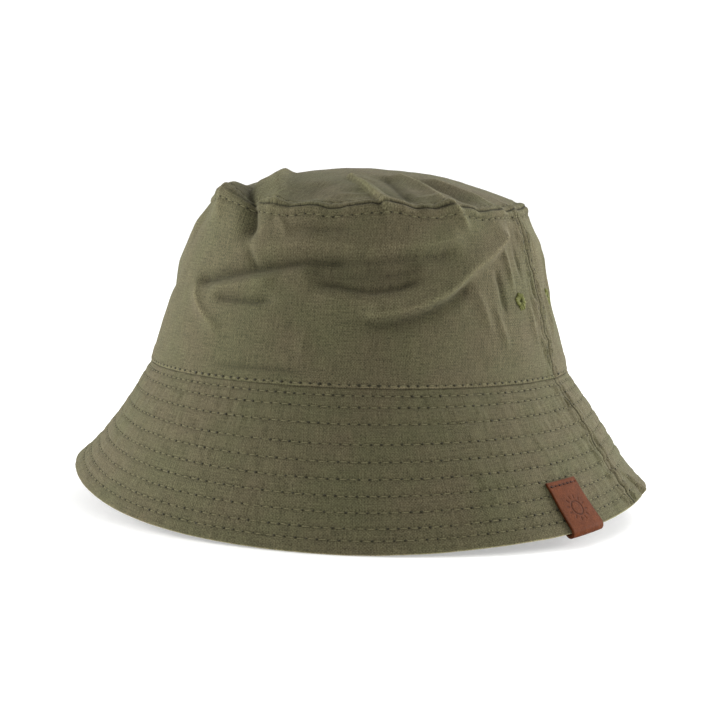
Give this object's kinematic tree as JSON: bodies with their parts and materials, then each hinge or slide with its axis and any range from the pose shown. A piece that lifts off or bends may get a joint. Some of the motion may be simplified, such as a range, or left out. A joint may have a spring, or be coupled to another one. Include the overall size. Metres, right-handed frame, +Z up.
{
  "type": "bucket hat",
  "caption": "Soft cotton bucket hat with a tapering crown, domed tip, drooping brim quilted with stitch rows, eyelets beside the side seams, and a leather tab folded over the brim's edge.",
  "frame": {"origin": "centre of the head opening, level with the seam that joins crown and brim", "axes": "+Z up through the crown's tip, -Y to the wearer's front, +X to the wearer's left, where the leather tab is"},
  "size_m": [0.2562, 0.2542, 0.15],
  "materials": {
    "olive_cloth": "plain-weave cotton, slubby and matt",
    "interlining": "bonded non-woven sheet",
    "sweatband_cotton": "close twill cotton",
    "seam_tape": "folded cotton tape",
    "eyelet_thread": "satin-stitched thread",
    "olive_thread": "spun polyester thread",
    "brown_leather": "smooth leather with cut edges",
    "brown_thread": "waxed thread",
    "white_satin": "woven satin ribbon"
  },
  "bodies": {
    "hat": {"brim_interlining_back": "interlining", "brim_interlining_front": "interlining", "brim_stitch_row_01": "olive_thread", "brim_stitch_row_02": "olive_thread", "brim_stitch_row_03": "olive_thread", "brim_stitch_row_04": "olive_thread", "brim_stitch_row_05": "olive_thread", "brim_stitch_row_06": "olive_thread", "brim_stitch_row_07": "olive_thread", "brim_stitch_row_08": "olive_thread", "brim_stitch_row_09": "olive_thread", "brim_stitch_row_10": "olive_thread", "brim_top_back": "olive_cloth", "brim_top_front": "olive_cloth", "brim_under_back": "olive_cloth", "brim_under_front": "olive_cloth", "crown_base_topstitch": "olive_thread", "crown_side_back": "olive_cloth", "crown_side_front": "olive_cloth", "crown_tip": "olive_cloth", "eyelet_left_back": "eyelet_thread", "eyelet_left_front": "eyelet_thread", "eyelet_right_back": "eyelet_thread", "eyelet_right_front": "eyelet_thread", "leather_tab": "brown_leather", "leather_tab_stitches": "brown_thread", "side_seam_tape_left": "seam_tape", "side_seam_tape_right": "seam_tape", "side_seam_topstitch_left": "olive_thread", "side_seam_topstitch_right": "olive_thread", "sweatband": "sweatband_cotton", "tip_seam_tape": "seam_tape", "tip_topstitch_lower": "olive_thread", "tip_topstitch_upper": "olive_thread"},
    "care_label_flap": {"care_label": "white_satin"}
  },
  "joints": [
    {"name": "care_label_swing", "type": "hinge", "parent": "hat", "child": "care_label_flap", "pos_m": [0, 0.0759, 0.067], "axis": [1, 0, 0], "range_deg": [-85, 8]}
  ]
}
